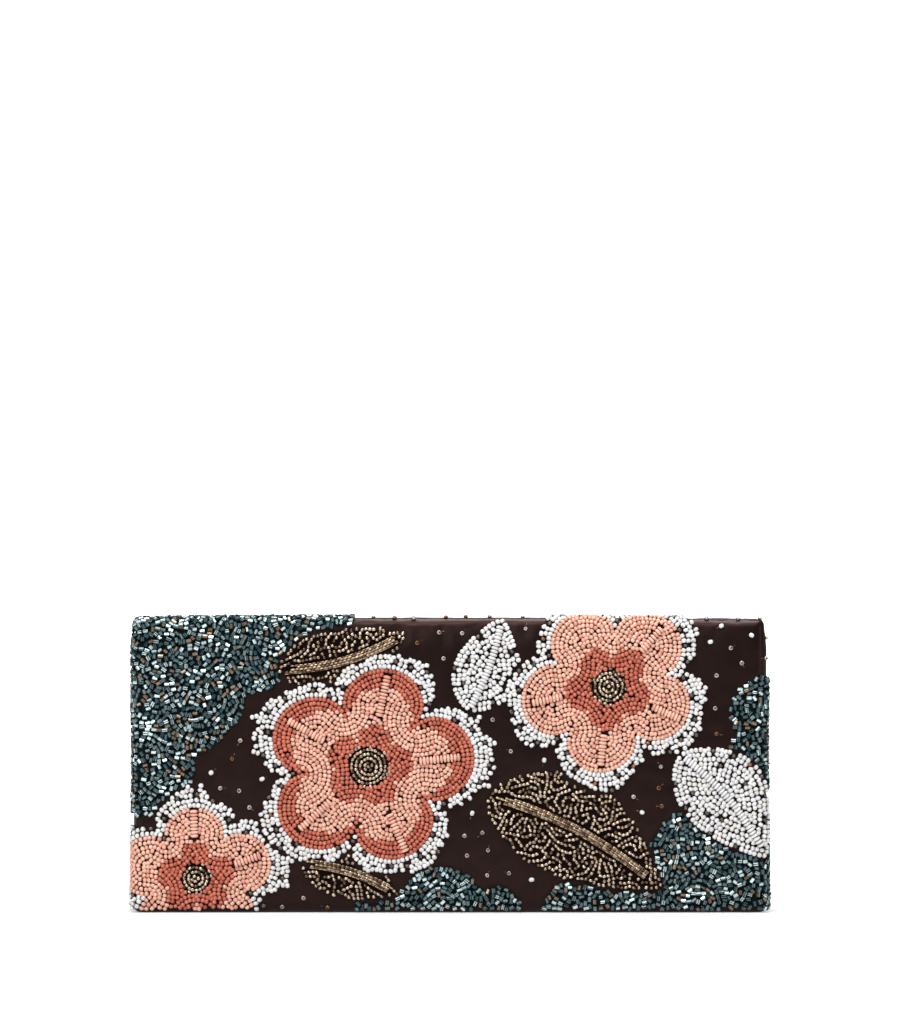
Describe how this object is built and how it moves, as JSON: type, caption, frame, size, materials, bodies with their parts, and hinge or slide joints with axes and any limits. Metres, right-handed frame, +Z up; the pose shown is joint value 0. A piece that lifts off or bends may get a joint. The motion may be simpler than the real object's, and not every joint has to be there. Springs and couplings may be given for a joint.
{
  "type": "beaded satin clutch",
  "caption": "Flat rectangular satin evening clutch, open along the top, with padded rolled edges and a front covered in glass beadwork of flowers, leaves and clouds.",
  "frame": {"origin": "on the floor, under the middle of the bag", "axes": "+Z up, +X along the bag, the beaded front faces -Y"},
  "size_m": [0.2794, 0.0428, 0.131],
  "materials": {
    "satin": "dark brown satin over thin wadding",
    "magnet": "plain nickel-plated disc",
    "teal_beads": "two-cut glass beads, lustred dark teal",
    "white_beads": "round seed beads, opaque white",
    "peach_beads": "round seed beads, opaque peach",
    "terracotta_beads": "round seed beads, opaque terracotta",
    "bronze_beads": "round seed beads, metallic bronze"
  },
  "bodies": {
    "root": {"back_shell": "satin", "edge_cloud": "teal_beads", "edge_leaf": "white_beads", "edge_leaf_rib": "white_beads", "front_shell": "satin", "large_flower_1_terracotta": "terracotta_beads", "large_flower_2_peach": "peach_beads", "large_flower_3_terracotta": "terracotta_beads", "large_flower_4_bronze": "bronze_beads", "large_flower_halo": "white_beads", "large_flower_rib_1": "peach_beads", "large_flower_rib_2": "peach_beads", "large_flower_rib_3": "peach_beads", "large_flower_rib_4": "peach_beads", "large_flower_rib_5": "peach_beads", "left_cloud": "teal_beads", "low_cloud": "teal_beads", "low_flower_1_peach": "peach_beads", "low_flower_2_terracotta": "terracotta_beads", "low_flower_3_bronze": "bronze_beads", "low_flower_halo_1": "white_beads", "low_flower_halo_2": "white_beads", "low_flower_rib_1": "peach_beads", "low_flower_rib_2": "peach_beads", "low_leaf": "bronze_beads", "low_leaf_rib": "bronze_beads", "magnet_clasp": "magnet", "right_cloud": "teal_beads", "right_leaf": "bronze_beads", "right_leaf_rib": "bronze_beads", "top_flower_1_peach": "peach_beads", "top_flower_2_terracotta": "terracotta_beads", "top_flower_3_bronze": "bronze_beads", "top_flower_halo_1": "white_beads", "top_flower_halo_2": "white_beads", "top_flower_rib_1": "peach_beads", "top_flower_rib_2": "peach_beads", "top_flower_rib_3": "peach_beads", "top_flower_rib_4": "peach_beads", "top_leaf": "white_beads", "top_leaf_rib": "white_beads", "upper_leaf": "bronze_beads", "upper_leaf_rib": "bronze_beads"}
  },
  "joints": []
}
